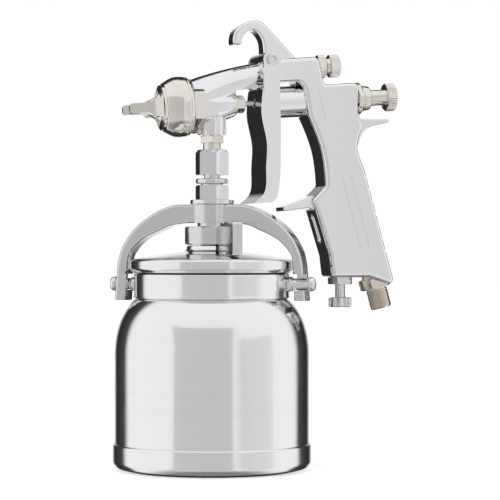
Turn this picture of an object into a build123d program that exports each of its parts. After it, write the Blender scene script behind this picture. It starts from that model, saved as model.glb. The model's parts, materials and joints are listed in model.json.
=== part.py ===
"""Suction-feed HVLP spray gun with a one-litre clamp-lid paint pot.

Origin: centre of the pot's base, on the surface it stands on. +Z is up and +X
runs from the air cap back to the fluid knob, so the gun sprays towards -X.
The needle line crosses the pot's axis at AXIS_Z and rises TILT degrees to the rear.
"""
from build123d import *
from math import cos, radians, sin
import os

os.makedirs("parts", exist_ok=True)

# ---- driving dimensions, mm -------------------------------------------------
TILT = 3.64               # rise of the needle line towards the rear
AXIS_Z = 209.1            # height of the needle line over the pot's centre
BODY_HALF = 11.3          # half thickness of the grip and body slab
EDGE = 2.6                # rounding of the slab's edges
SPUR_EDGE = 0.7           # rounding of the thin spurs
HOOK_EDGE = 1.6           # rounding of the hook's bar
PIVOT = (33.1, 24.0)      # trigger pivot, along and above the needle line
EAR_OUT = 15.5            # outer face of the trigger's ears
EAR_IN = 13.7             # inner face of the trigger's ears
PIVOT_R = 3.0             # pivot stud
NEEDLE_R = 1.5
RUN = 0.1                 # radial clearance of sliding and turning fits
FAN_Z = 19.7              # fan knob line above the needle line
AIR_X = 77.5              # air adjuster line, vertical, under the grip
INLET_END = (102.9, 92.3)  # centre of the air nipple's open end (X, Z)
INLET_LEAN = 15.3         # lean of the nipple from the vertical
INLET_R = 6.58            # G1/4 thread
CUP_R = 56.1
CUP_BAND_R = 57.2
CUP_WALL = 1.4
COLLAR_R = 44.8
LID_R = 47.4
YOKE_TURN = -30           # yoke's plane, from +X about +Z
YOKE_WIDTH = 16
STUD_Z = 106.5            # height of the clamp studs
STUD_R = 3.3
SPINDLE_R = 6.4
LEVER_TURN = -85          # cam lever's direction, from +X about +Z

# ---- reference lines: local x runs along each line, local y is the radius ----
GUN_X = (cos(radians(TILT)), 0, sin(radians(TILT)))
SIDE = Plane(origin=(0, 0, AXIS_Z), x_dir=GUN_X, z_dir=(0, -1, 0))
TOP = Plane(origin=(0, 0, AXIS_Z), x_dir=GUN_X, z_dir=(-GUN_X[2], 0, GUN_X[0]))
FAN = Plane(origin=SIDE.from_local_coords((0, FAN_Z)), x_dir=GUN_X, z_dir=(0, -1, 0))
UPRIGHT = Plane(origin=(0, 0, 0), x_dir=(0, 0, 1), z_dir=(0, -1, 0))
AIR = Plane(origin=(AIR_X, 0, 0), x_dir=(0, 0, 1), z_dir=(0, -1, 0))
INLET = Plane(
    origin=(INLET_END[0], 0, INLET_END[1]),
    x_dir=(-sin(radians(INLET_LEAN)), 0, cos(radians(INLET_LEAN))),
    z_dir=(0, -1, 0),
)
PIVOT_LINE = Plane(origin=SIDE.from_local_coords(PIVOT), x_dir=(0, 1, 0), z_dir=(1, 0, 0))
YOKE_SIDE = Plane(
    origin=(0, 0, 0),
    x_dir=(cos(radians(YOKE_TURN)), sin(radians(YOKE_TURN)), 0),
    z_dir=(sin(radians(YOKE_TURN)), -cos(radians(YOKE_TURN)), 0),
)
LEVER = Plane(
    origin=(0, 0, 0),
    x_dir=(cos(radians(LEVER_TURN)), sin(radians(LEVER_TURN)), 0),
    z_dir=(sin(radians(LEVER_TURN)), -cos(radians(LEVER_TURN)), 0),
)
STUD_LINE = Plane(origin=(0, 0, STUD_Z), x_dir=YOKE_SIDE.x_dir, z_dir=(0, 0, 1))
AIR_WAY = Plane(
    origin=SIDE.from_local_coords((-8.0, 7.5)),
    x_dir=SIDE.from_local_coords((48.0, 17.0)) - SIDE.from_local_coords((-8.0, 7.5)),
    z_dir=(0, -1, 0),
)
GRIP_BACK = (Vector(87.2, -43.5), Vector(100.9, -108.2))   # the grip's straight rear edge
GRIP_FRONT = (Vector(55.7, -64.6), Vector(62.0, -90.7))    # the grip's front, under the spur


def turned(line, points):
    """Solid of revolution about a reference line; points are (along, radius)."""
    with BuildPart() as piece:
        with BuildSketch(line):
            with BuildLine():
                Polyline(*points, close=True)
            make_face()
        revolve(axis=Axis(line.origin, line.x_dir))
    return piece


def rod(line, start, end, radius):
    """Round bar on a reference line, for adding to or cutting from a piece."""
    with BuildPart() as bar:
        with BuildSketch(Plane(origin=line.from_local_coords((start, 0)), z_dir=line.x_dir)):
            Circle(radius)
        extrude(amount=end - start)
    return bar.part


def hexagon_bar(line, start, end, across, turn=0):
    """Hexagonal bar on a reference line, across its flats."""
    flat_dir = Vector(line.y_dir).rotate(Axis((0, 0, 0), line.x_dir), turn)
    with BuildPart() as bar:
        with BuildSketch(Plane(origin=line.from_local_coords((start, 0)), x_dir=flat_dir, z_dir=line.x_dir)):
            RegularPolygon(across / 2, 6, major_radius=False)
        extrude(amount=end - start)
    return bar.part


def save(piece, name):
    """Label a finished piece and write it out."""
    piece.part.label = name
    export_step(piece.part, f"parts/{name}.step")


# ---- gun body: one forging with barrel, hook, valve housing and grip ---------
BARREL_FRONT = -13.0
LOBE_END = 12.6           # rear end of the paint chamber
HOUSING_FRONT = 37.0
CHAMBER_R = 7.2
CHEEK = 0.35              # height of the raised flats
EAR_GAP = 0.3             # between the pivot boss and each trigger ear
GROOVES = 7
GROOVE_R = 1.5
FRONT_DOWN = SIDE.from_local_coords(GRIP_FRONT[1]) - SIDE.from_local_coords(GRIP_FRONT[0])
FRONT_FACE = Plane(
    origin=SIDE.from_local_coords(GRIP_FRONT[0]) + FRONT_DOWN * 0.38,
    x_dir=FRONT_DOWN,
    z_dir=FRONT_DOWN.cross(Vector(0, -1, 0)),
)

with BuildPart() as grip_slab:
    with BuildSketch(SIDE) as grip_outline:
        with BuildLine():
            Polyline((30.5, 11.0), (30.5, 24.2), (62.5, 25.0), (65.3, 8.7), (86.6, 8.9),
                     (84.9, -7.0), (87.4, -16.5))
            rear = Spline((87.4, -16.5), (83.4, -29.5), GRIP_BACK[0], tangents=((-0.4, -1), (0.2, -1)))
            Polyline(rear @ 1, GRIP_BACK[1], (97.0, -109.4), (85.0, -104.5), (62.7, -103.3),
                     GRIP_FRONT[1], GRIP_FRONT[0], (53.0, -58.0), (62.4, -49.6))
            front = Spline((62.4, -49.6), (60.9, -28.7), (54.4, -9.1), tangents=((0, 1), (-0.4, 1)))
            Polyline(front @ 1, (52.6, 7.5), (49.5, 11.0), (30.5, 11.0))
        make_face()
        fillet(grip_outline.vertices(), EDGE + 0.2)
    extrude(amount=BODY_HALF, both=True)
    fillet(grip_slab.faces().filter_by(Axis.Y).edges(), EDGE)

with BuildPart() as front_spur:
    with BuildSketch(SIDE) as front_spur_outline:
        with BuildLine():
            Polyline((63.0, -53.0), (57.0, -55.0), (36.9, -60.8), (36.6, -63.3), (52.0, -62.0),
                     (60.0, -66.0), (63.0, -53.0))
        make_face()
        fillet(front_spur_outline.vertices(), SPUR_EDGE + 0.1)
    extrude(amount=8.0, both=True)
    fillet(front_spur.faces().filter_by(Axis.Y).edges(), SPUR_EDGE)

with BuildPart() as rear_spur:
    with BuildSketch(SIDE) as rear_spur_outline:
        with BuildLine():
            Polyline((82.0, -12.0), (104.1, -13.2), (104.1, -15.0), (94.5, -16.6))
            Spline((94.5, -16.6), (87.5, -20.4), (84.5, -27.5), tangents=((-1, -0.2), (-0.1, -1)))
            Polyline((84.5, -27.5), (80.0, -27.5), (82.0, -12.0))
        make_face()
        fillet(rear_spur_outline.vertices(), SPUR_EDGE + 0.1)
    extrude(amount=9.0, both=True)
    fillet(rear_spur.faces().filter_by(Axis.Y).edges(), SPUR_EDGE)

with BuildPart() as barrel:
    with BuildSketch(Plane(origin=SIDE.from_local_coords((BARREL_FRONT, 1.6)), z_dir=GUN_X)):
        Circle(13.6)
    with BuildSketch(Plane(origin=SIDE.from_local_coords((8.0, 10.4)), z_dir=GUN_X)):
        Circle(9.9)
    with BuildSketch(Plane(origin=SIDE.from_local_coords((38.0, 15.6)), z_dir=GUN_X)):
        Circle(8.9)
    loft()

with BuildPart() as hook:
    with BuildSketch(SIDE) as hook_outline:
        with BuildLine():
            Polyline((30.6, 20.0), (31.3, 30.0))
            Spline((31.3, 30.0), (30.4, 37.0), (24.9, 42.0), (19.6, 38.6), (18.6, 33.6),
                   tangents=((0, 1), (-0.1, -1)))
            Polyline((18.6, 33.6), (13.4, 34.2))
            Spline((13.4, 34.2), (15.2, 42.0), (26.5, 47.4), (33.5, 44.6),
                   tangents=((-0.05, 1), (0.8, -0.75)))
            Polyline((33.5, 44.6), (50.6, 24.6), (50.6, 20.0), (30.6, 20.0))
        make_face()
        fillet(hook_outline.vertices(), HOOK_EDGE + 0.2)
    extrude(amount=6.0, both=True)
    fillet(hook.faces().filter_by(Axis.Y).edges(), HOOK_EDGE)

with BuildPart() as cheeks:
    # raised flats on both sides of the fluid knob's boss, and a raised grip panel
    with BuildSketch(SIDE) as cheek_outline:
        Polygon((60.6, 6.9), (84.9, 7.1), (83.3, -6.6), (85.2, -12.6), (64.6, -12.6), align=None)
        fillet(cheek_outline.vertices(), 1.5)
    extrude(amount=BODY_HALF + CHEEK, both=True)
    with BuildSketch(Plane(origin=SIDE.from_local_coords((80.0, -66.0)),
                           x_dir=SIDE.from_local_coords(GRIP_BACK[0]) - SIDE.from_local_coords(GRIP_BACK[1]),
                           z_dir=(0, -1, 0))):
        SlotOverall(46.0, 6.4)
        SlotOverall(43.6, 4.0, mode=Mode.SUBTRACT)
    extrude(amount=BODY_HALF + CHEEK, both=True)

with BuildPart() as gun_body:
    add(grip_slab.part)
    add(cheeks.part)
    add(front_spur.part)
    add(rear_spur.part)
    add(barrel.part)
    add(hook.part)
    # paint chamber under the barrel, air valve housing, cup boss and pivot boss
    add(turned(SIDE, [(BARREL_FRONT, 0), (BARREL_FRONT, 12.8), (1.0, 10.7), (7.0, 9.1), (LOBE_END, 7.2),
                      (LOBE_END, 0)]).part)
    add(rod(SIDE, HOUSING_FRONT, 60.0, 9.2))
    add(rod(UPRIGHT, 192.0, AXIS_Z, 8.25))
    add(rod(PIVOT_LINE, EAR_GAP - EAR_IN, EAR_IN - EAR_GAP, 5.0))
    # open space between the barrel and the needle, where the trigger's web moves
    with BuildSketch(SIDE):
        with BuildLine():
            Polyline((LOBE_END, -14.0), (LOBE_END, 7.6), (HOUSING_FRONT, 9.2), (HOUSING_FRONT, -14.0),
                     (LOBE_END, -14.0))
        make_face()
    extrude(amount=14, both=True, mode=Mode.SUBTRACT)
    # air head seat, paint way, packing bore and needle line
    add(hexagon_bar(SIDE, -14.0, -7.4, 27.2), mode=Mode.SUBTRACT)
    add(rod(SIDE, -8.0, 2.0, 6.0), mode=Mode.SUBTRACT)
    add(rod(SIDE, 2.0, 12.7, 4.2), mode=Mode.SUBTRACT)
    add(rod(UPRIGHT, 191.9, 202.0, 5.2), mode=Mode.SUBTRACT)
    add(rod(UPRIGHT, 191.9, AXIS_Z, 3.2), mode=Mode.SUBTRACT)
    # air valve chamber, needle spring bore and fan stem bore
    add(rod(SIDE, HOUSING_FRONT - 1, 62.0, CHAMBER_R), mode=Mode.SUBTRACT)
    add(rod(SIDE, 62.0, 88.0, 5.2), mode=Mode.SUBTRACT)
    add(rod(FAN, 46.0, 66.0, 5.0), mode=Mode.SUBTRACT)
    # air ways: barrel, grip and inlet
    add(rod(AIR_WAY, 0, 56.0, 3.2), mode=Mode.SUBTRACT)
    add(rod(AIR, 105.0, 124.0, 5.5), mode=Mode.SUBTRACT)
    add(rod(INLET, 0, 18.5, 9.9), mode=Mode.SUBTRACT)
    add(rod(INLET, 18.0, 28.0, 6.6), mode=Mode.SUBTRACT)
    add(rod(INLET, 18.0, 80.0, 4.0), mode=Mode.SUBTRACT)
    # trigger pivot
    add(rod(PIVOT_LINE, -20, 20, PIVOT_R), mode=Mode.SUBTRACT)
    # finger grooves across the grip's back, and a recess down its front
    for groove in range(GROOVES):
        down_back = (GRIP_BACK[1] - GRIP_BACK[0]) * (0.04 + 0.112 * groove)
        place = SIDE.from_local_coords(GRIP_BACK[0] + down_back + Vector(GROOVE_R - 0.7, 0.1))
        add(rod(Plane(origin=place, x_dir=(0, 1, 0), z_dir=(1, 0, 0)),
                -BODY_HALF - 1, BODY_HALF + 1, GROOVE_R), mode=Mode.SUBTRACT)
    with BuildSketch(FRONT_FACE):
        SlotOverall(18.0, 7.0)
    extrude(amount=-1.3, mode=Mode.SUBTRACT)
save(gun_body, "gun_body")

# ---- pieces fixed in the gun body ------------------------------------------
save(turned(SIDE, [(-33.5, 0.9), (-33.5, 1.7), (-30.0, 3.2), (-26.0, 6.4), (-23.0, 6.4), (-23.0, 9.5),
                   (-22.0, 9.5), (-22.0, 6.0), (2.0, 6.0), (2.0, 3.0), (-29.0, 3.0)]), "fluid_nozzle")

with BuildPart() as air_distributor:
    add(turned(SIDE, [(-22.0, 6.0), (-22.0, 12.5), (-13.4, 12.5), (-13.4, 6.0)]).part)
    add(hexagon_bar(SIDE, -13.4, -7.4, 27.0))
    add(rod(SIDE, -23.0, -7.0, 6.0), mode=Mode.SUBTRACT)
    with BuildSketch(Plane(origin=SIDE.from_local_coords((-22.0, 0)), z_dir=GUN_X)):
        with PolarLocations(9.2, 8):
            Circle(1.3)
    extrude(amount=8.4, mode=Mode.SUBTRACT)
save(air_distributor, "air_distributor")

save(turned(SIDE, [(2.0, NEEDLE_R + RUN), (2.0, 4.2), (7.0, 4.2), (7.0, NEEDLE_R + RUN)]), "needle_packing")

with BuildPart() as packing_gland:
    add(turned(SIDE, [(7.0, NEEDLE_R + RUN), (7.0, 4.2), (12.6, 4.2), (12.6, 6.3), (13.8, 6.3),
                      (13.8, NEEDLE_R + RUN)]).part)
    add(hexagon_bar(SIDE, 13.8, 18.8, 9.0))
    add(rod(SIDE, 13.0, 19.0, NEEDLE_R + RUN), mode=Mode.SUBTRACT)
save(packing_gland, "packing_gland")

VALVE_STEM_R = 3.4
with BuildPart() as air_valve_seat:
    add(turned(SIDE, [(HOUSING_FRONT, VALVE_STEM_R + RUN), (HOUSING_FRONT, 7.2), (43.0, 7.2),
                      (43.0, 5.2), (44.0, VALVE_STEM_R + RUN)]).part)
save(air_valve_seat, "air_valve_seat")

GUIDE_BORE = 4.7
save(turned(SIDE, [(80.0, GUIDE_BORE), (80.0, 5.2), (86.7, 5.2), (86.7, 9.2), (87.3, 9.4), (88.9, 9.4),
                   (89.5, 9.0), (89.5, 7.2), (94.8, 6.9), (95.4, 6.4), (95.4, GUIDE_BORE)]), "fluid_guide")
save(turned(FAN, [(56.0, 3.1), (56.0, 5.0), (64.6, 5.0), (64.6, 6.4), (65.0, 6.8), (68.6, 6.8),
                  (69.0, 6.4), (69.0, 3.1)]), "fan_guide")
with BuildPart() as air_guide:
    add(rod(AIR, 109.9, 121.0, 5.5))
    add(hexagon_bar(AIR, 106.0, 109.9, 13.0))
    add(rod(AIR, 106.0, 122.0, 3.1), mode=Mode.SUBTRACT)
save(air_guide, "air_guide")

HEX_START = 12.2
with BuildPart() as air_nipple:
    add(turned(INLET, [(0, 4.2), (0, 5.9), (0.7, INLET_R), (11.0, INLET_R), (11.3, 5.8), (HEX_START, 5.8),
                       (HEX_START, 4.2)]).part)
    add(hexagon_bar(INLET, HEX_START, 18.4, 17.0))
    add(rod(INLET, 18.4, 27.0, 6.6))
    add(rod(INLET, -1.0, 28.0, 4.0), mode=Mode.SUBTRACT)
save(air_nipple, "air_nipple")

PIN_END = EAR_OUT + 0.3
save(turned(PIVOT_LINE, [(-PIN_END, 1.2), (-PIN_END, PIVOT_R), (PIN_END, PIVOT_R), (PIN_END, 4.2),
                         (PIN_END + 1.3, 3.6), (PIN_END + 1.3, 0), (-PIN_END + 8, 0),
                         (-PIN_END + 8, 1.2)]), "trigger_pivot_stud")
save(turned(PIVOT_LINE, [(-PIN_END + 7.5, 0), (-PIN_END + 7.5, 1.2), (-PIN_END, 1.2), (-PIN_END, 3.6),
                         (-PIN_END - 0.7, 3.6), (-PIN_END - 1.4, 2.4), (-PIN_END - 1.4, 1.0),
                         (-PIN_END - 0.7, 0.8), (-PIN_END - 0.7, 0)]), "trigger_pivot_screw")

with BuildPart() as fluid_joint:
    add(turned(UPRIGHT, [(179.6, 3.2), (179.6, 5.2), (180.2, 6.1), (181.7, 6.1), (181.7, 5.2), (202.0, 5.2),
                         (202.0, 3.2)]).part)
save(fluid_joint, "fluid_joint")
with BuildPart() as joint_lock_nut:
    add(hexagon_bar(UPRIGHT, 187.4, 191.6, 13.0, turn=15))
    add(rod(UPRIGHT, 187.0, 192.0, 5.2), mode=Mode.SUBTRACT)
save(joint_lock_nut, "joint_lock_nut")

# ---- air head ----------------------------------------------------------------
CAP_LIP = 13.0
save(turned(SIDE, [(-29.3, CAP_LIP + RUN), (-29.3, 13.9), (-23.6, 16.8), (-22.6, 17.3), (-20.0, 17.5),
                   (-15.6, 17.0), (-14.6, 16.3), (-13.7, 15.6), (-13.7, 12.7), (-22.4, 12.7), (-22.4, 14.6),
                   (-25.6, 14.6), (-25.6, CAP_LIP + RUN)]), "retaining_ring")

HORN_TIP = -50.8
with BuildPart() as horns:
    # side view: a flared root running out to a flat bar
    with BuildSketch(SIDE):
        with BuildLine():
            Polyline((-31.5, -6.0), (-31.5, 6.0), (-36.4, 4.9))
            flare = ThreePointArc((-36.4, 4.9), (-38.6, 3.4), (-41.4, 2.8))
            Polyline(flare @ 1, (HORN_TIP + 1.2, 2.8), (HORN_TIP, 1.6), (HORN_TIP, -1.6),
                     (HORN_TIP + 1.2, -2.8), (-41.4, -2.8))
            under = ThreePointArc((-41.4, -2.8), (-38.6, -3.4), (-36.4, -4.9))
            Line(under @ 1, (-31.5, -6.0))
        make_face()
    extrude(amount=15, both=True)
    # from above: two horns, one each side of the nozzle
    with BuildSketch(TOP):
        with BuildLine():
            Polyline((-31.5, 3.4), (-37.2, 4.0), (-41.0, 5.6), (HORN_TIP, 8.0), (HORN_TIP, 10.2),
                     (-42.0, 11.25), (-36.5, 12.75), (-31.5, 12.9), (-31.5, 3.4))
        make_face()
        mirror(about=Plane.XZ)
    extrude(amount=15, both=True, mode=Mode.INTERSECT)

POCKET_OUT = 9.2          # pockets milled into the cap's face, above and below the horns
with BuildPart() as air_cap:
    add(turned(SIDE, [(-22.7, 11.9), (-22.7, 14.4), (-25.4, 14.4), (-25.4, CAP_LIP), (-30.9, CAP_LIP),
                      (-32.2, 9.4), (-34.0, 6.6), (-36.6, 4.6), (-37.4, 4.2), (-37.4, 1.9), (-35.2, 1.9),
                      (-34.2, 3.0), (-30.4, 3.9), (-29.4, 9.0), (-28.0, 11.9)]).part)
    add(horns.part)
    add(rod(SIDE, -38.0, -28.0, 1.9), mode=Mode.SUBTRACT)
    with BuildSketch(Plane(origin=SIDE.from_local_coords((-38.5, 0)), z_dir=GUN_X)):
        with PolarLocations(6.6, 2, start_angle=0):
            Circle(0.6)
    extrude(amount=8.0, mode=Mode.SUBTRACT)
    for side in (1, -1):
        pocket = Plane(origin=SIDE.from_local_coords((0, side * POCKET_OUT)), x_dir=GUN_X, z_dir=(0, -1, 0))
        add(rod(pocket, -45.0, -31.2, 4.3), mode=Mode.SUBTRACT)
        add(rod(pocket, -33.0, -24.0, 0.55), mode=Mode.SUBTRACT)
save(air_cap, "air_cap")

# ---- trigger -----------------------------------------------------------------
SKIN = 1.8
with BuildPart() as trigger:
    with BuildSketch(SIDE):
        with BuildLine():
            top = ThreePointArc((28.0, 22.5), (33.1, 29.1), (38.2, 22.5))
            back = Spline(top @ 1, (36.6, 5.0), (36.0, -12.0), (35.0, -27.0), (32.8, -48.0), (31.0, -55.0))
            Line(back @ 1, (27.9, -57.8))
            Line((27.9, -57.8), (17.3, -57.6))
            Spline((17.3, -57.6), (22.8, -53.0), (25.5, -38.5), (26.9, -24.0), (25.0, -10.0), (25.3, 0.0),
                   (26.9, 8.0), (28.0, 22.5), tangents=((1, 0.9), (0.05, 1)))
        make_face()
    extrude(amount=EAR_OUT, both=True)
    with BuildSketch(SIDE):
        with BuildLine():
            Polyline((24.0, 34.0), (24.0, 7.0), (28.6, 7.0))
            inner = Spline((28.6, 7.0), (28.2, -6.0), (28.4, -13.0), (30.0, -22.0), (28.2, -40.0),
                           (26.4, -50.0), (24.0, -55.2), tangents=((0, -1), (-0.6, -0.7)))
            Polyline(inner @ 1, (45.0, -55.2), (45.0, 34.0), (24.0, 34.0))
        make_face()
    extrude(amount=EAR_IN, both=True, mode=Mode.SUBTRACT)
    add(rod(SIDE, 20.0, 32.0, 3.0), mode=Mode.SUBTRACT)
    add(rod(PIVOT_LINE, -20, 20, PIVOT_R + RUN), mode=Mode.SUBTRACT)
save(trigger, "trigger")

# ---- paint needle and air valve ------------------------------------------------
save(turned(SIDE, [(-33.2, 0), (-33.2, 0.5), (-30.4, NEEDLE_R), (90.0, NEEDLE_R), (90.0, 0)]), "fluid_needle")
save(turned(SIDE, [(62.5, NEEDLE_R), (62.5, 4.4), (66.0, 4.4), (66.0, NEEDLE_R)]), "needle_collar")
save(turned(SIDE, [(66.0, 1.9), (66.0, 2.7), (99.0, 2.7), (99.0, 1.9)]), "needle_spring")
save(turned(SIDE, [(30.2, NEEDLE_R + RUN), (30.2, 2.8), (30.8, VALVE_STEM_R), (47.0, VALVE_STEM_R),
                   (47.0, 6.2), (49.5, 6.2), (49.5, VALVE_STEM_R), (61.0, VALVE_STEM_R),
                   (61.0, NEEDLE_R + RUN)]), "air_valve")
save(turned(SIDE, [(45.0, VALVE_STEM_R), (45.0, 6.0), (47.0, 6.0), (47.0, VALVE_STEM_R)]), "air_valve_seal")
save(turned(SIDE, [(49.5, 4.6), (49.5, 6.2), (62.0, 6.2), (62.0, 4.6)]), "air_valve_spring")

# ---- adjusting knobs, each with the ring that drags in its guide -----------------
SHANK_R = GUIDE_BORE - RUN
save(turned(SIDE, [(89.0, 3.0), (89.0, SHANK_R), (91.5, SHANK_R), (91.5, 3.9), (92.5, 3.9), (92.5, SHANK_R),
                   (104.9, SHANK_R), (105.2, 7.9), (105.7, 8.2), (110.3, 8.2), (110.8, 7.6), (110.8, 6.0),
                   (109.6, 5.2), (109.6, 0), (100.0, 0), (100.0, 3.0)]), "fluid_knob")
save(turned(SIDE, [(91.55, 3.95), (91.55, SHANK_R), (92.45, SHANK_R), (92.45, 3.95)]), "fluid_knob_ring")
FAN_STEM_R = 3.0
save(turned(FAN, [(50.0, 0), (52.0, 1.6), (53.5, FAN_STEM_R), (61.5, FAN_STEM_R), (61.5, 2.3), (62.5, 2.3),
                  (62.5, FAN_STEM_R), (69.8, FAN_STEM_R), (69.8, 4.8), (71.6, 4.8), (71.6, 6.3), (72.0, 6.7),
                  (77.0, 6.7), (77.5, 6.1), (77.5, 4.6), (76.9, 4.2), (76.9, 0)]), "fan_knob")
save(turned(FAN, [(61.55, 2.35), (61.55, FAN_STEM_R), (62.45, FAN_STEM_R), (62.45, 2.35)]), "fan_knob_ring")
save(turned(AIR, [(92.7, 0), (92.7, 6.4), (93.3, 7.0), (98.0, 7.0), (98.5, 6.4), (98.5, FAN_STEM_R),
                  (114.0, FAN_STEM_R), (114.0, 2.3), (115.0, 2.3), (115.0, FAN_STEM_R), (122.0, FAN_STEM_R),
                  (123.4, 1.4), (123.4, 0)]), "air_knob")
save(turned(AIR, [(114.05, 2.35), (114.05, FAN_STEM_R), (114.95, FAN_STEM_R),
                  (114.95, 2.35)]), "air_knob_ring")

# ---- pot: joint to the gun ---------------------------------------------------------
with BuildPart() as union_nut:
    add(hexagon_bar(UPRIGHT, 169.0, 183.5, 17.0, turn=30))
    add(turned(UPRIGHT, [(169.0, 0), (169.0, 9.2), (170.0, 10.0), (182.2, 10.0), (183.5, 8.4),
                         (183.5, 0)]).part, mode=Mode.INTERSECT)
    add(rod(UPRIGHT, 168.0, 182.1, 6.4), mode=Mode.SUBTRACT)
    add(rod(UPRIGHT, 182.0, 184.0, 5.3), mode=Mode.SUBTRACT)
save(union_nut, "union_nut")

WAY_R = 3.2
save(turned(UPRIGHT, [(113.0, WAY_R), (113.0, SPINDLE_R), (164.0, SPINDLE_R), (164.0, 8.9), (164.6, 9.4),
                      (166.4, 9.4), (167.0, 8.9), (167.0, 4.6), (169.6, 4.6), (170.2, 6.2), (177.6, 6.2),
                      (179.4, 4.6), (179.4, WAY_R)]), "pot_spindle")
with BuildPart() as spindle_nut:
    add(hexagon_bar(UPRIGHT, 154.8, 163.2, 17.0, turn=30))
    add(rod(UPRIGHT, 154.0, 164.0, SPINDLE_R), mode=Mode.SUBTRACT)
save(spindle_nut, "spindle_nut")
save(turned(UPRIGHT, [(152.2, SPINDLE_R), (152.2, 12.2), (152.6, 12.6), (154.4, 12.6), (154.8, 12.2),
                      (154.8, SPINDLE_R)]), "yoke_washer")

# ---- pot: clamp yoke and cam lever ----------------------------------------------------
STEM_R = 8.4
NOTCH_LOW = STUD_Z - STUD_R - 0.3
NOTCH_HIGH = STUD_Z + STUD_R + 2.4
with BuildPart() as yoke:
    with BuildSketch(YOKE_SIDE):
        with BuildLine():
            Line((0, 152.0), (19.0, 152.0))
            outer = Spline((19.0, 152.0), (34.3, 146.2), (46.2, 136.4), (52.6, 126.0), (54.9, 116.0),
                           tangents=((1, -0.12), (0.15, -1)))
            Polyline(outer @ 1, (56.4, 97.0), (50.0, 97.0), (48.9, 119.5))
            inner = Spline((48.9, 119.5), (46.6, 125.5), (40.4, 131.8), (28.5, 137.8), (13.0, 141.5),
                           tangents=((0, 1), (-1, 0.1)))
            Line(inner @ 1, (0, 141.5))
            Line((0, 141.5), (0, 152.0))
        make_face()
        mirror(about=Plane.YZ)
    extrude(amount=YOKE_WIDTH / 2, both=True)
    fillet(yoke.faces().filter_by(YOKE_SIDE).edges().filter_by(lambda e: e.length > 17), 1.6)
    add(turned(UPRIGHT, [(141.5, 0), (141.5, 11.8), (152.0, 11.8), (152.0, 0)]).part)
    add(rod(UPRIGHT, 141.0, 153.0, STEM_R + RUN), mode=Mode.SUBTRACT)
    for side in (1, -1):
        with BuildSketch(YOKE_SIDE.offset(-side * (STUD_R + 0.3))):
            with Locations((side * 53, (NOTCH_LOW + NOTCH_HIGH) / 2)):
                Rectangle(12, NOTCH_HIGH - NOTCH_LOW)
        extrude(amount=side * 20, mode=Mode.SUBTRACT)
save(yoke, "yoke")

HUB_TOP = 139.4
with BuildPart() as cam_lever:
    add(turned(UPRIGHT, [(129.0, 0), (129.0, 15.0), (129.6, 15.7), (138.8, 15.7), (HUB_TOP, 15.0),
                         (HUB_TOP, STEM_R), (151.0, STEM_R), (151.0, 0)]).part)
    with BuildSketch(LEVER) as lever_outline:
        with BuildLine():
            Polyline((0, 129.4), (15.0, 129.4))
            sweep_down = Spline((15.0, 129.4), (22.0, 127.6), (34.0, 123.4), (38.0, 122.7),
                                tangents=((1, 0), (1, 0)))
            Polyline(sweep_down @ 1, (41.6, 122.7), (41.6, 142.0), (34.0, 142.0), (14.0, 138.6),
                     (0, 138.6), (0, 129.4))
        make_face()
        thumb_corners = lever_outline.vertices().filter_by(
            lambda corner: corner.Z > 141 or (corner.Z < 123 and abs(corner.Y) > 39))
        fillet(thumb_corners, 2.0)
    extrude(amount=2.9, both=True)
    add(rod(UPRIGHT, 128.0, 152.0, SPINDLE_R + RUN), mode=Mode.SUBTRACT)
save(cam_lever, "cam_lever")

# ---- pot: lid -----------------------------------------------------------------------------
save(turned(UPRIGHT, [(111.5, SPINDLE_R), (111.5, 41.6), (113.0, 41.6), (113.0, 45.2), (115.2, LID_R),
                      (119.6, LID_R), (120.4, 46.6), (125.2, 16.5), (126.4, 15.2), (128.6, 14.2),
                      (128.6, SPINDLE_R)]), "lid")
save(turned(UPRIGHT, [(112.75, 41.6), (112.75, 44.9), (113.0, 44.9), (113.0, 41.6)]), "lid_gasket")
save(turned(UPRIGHT, [(12.0, WAY_R), (12.0, 4.6), (106.0, 4.6), (106.0, SPINDLE_R), (113.0, SPINDLE_R),
                      (113.0, WAY_R)]), "pickup_tube")

# ---- pot: cup ------------------------------------------------------------------------------
FLOOR_TOP = 2.9           # inside floor of the base pan
SEAM = 6.45               # where the spun wall stands on the pan
NECK_R = 43.3
NECK_TOP = 112.5
FIT = 0.05                # between pressed-together sheets
with BuildPart() as cup_body:
    with BuildSketch(UPRIGHT):
        with BuildLine():
            Polyline((SEAM, CUP_R - CUP_WALL), (SEAM, CUP_R - FIT), (68.0, CUP_R - FIT))
            shoulder = ThreePointArc((68.0, CUP_R - FIT), (84.3, 53.0), (97.5, 44.6))
            Polyline(shoulder @ 1, (98.4, NECK_R), (NECK_TOP, NECK_R), (NECK_TOP, NECK_R - CUP_WALL),
                     (97.8, NECK_R - CUP_WALL), (96.4, 43.5))
            inside = ThreePointArc((96.4, 43.5), (83.6, 51.7), (68.0, CUP_R - CUP_WALL))
            Line(inside @ 1, (SEAM, CUP_R - CUP_WALL))
        make_face()
    revolve(axis=Axis.Z)
save(cup_body, "cup_body")
save(turned(UPRIGHT, [(0, 0), (0, 51.6), (1.6, 55.2), (4.6, CUP_BAND_R), (14.6, CUP_BAND_R),
                      (15.2, CUP_R + 0.5), (15.2, CUP_R), (SEAM, CUP_R), (SEAM, CUP_R - CUP_WALL),
                      (3.8, 53.0), (FLOOR_TOP, 50.0), (FLOOR_TOP, 0)]), "cup_base")
save(turned(UPRIGHT, [(98.45, NECK_R + FIT), (98.45, 44.4), (99.2, COLLAR_R), (111.9, COLLAR_R),
                      (NECK_TOP, 44.2), (NECK_TOP, NECK_R + FIT)]), "cup_collar")

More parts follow.
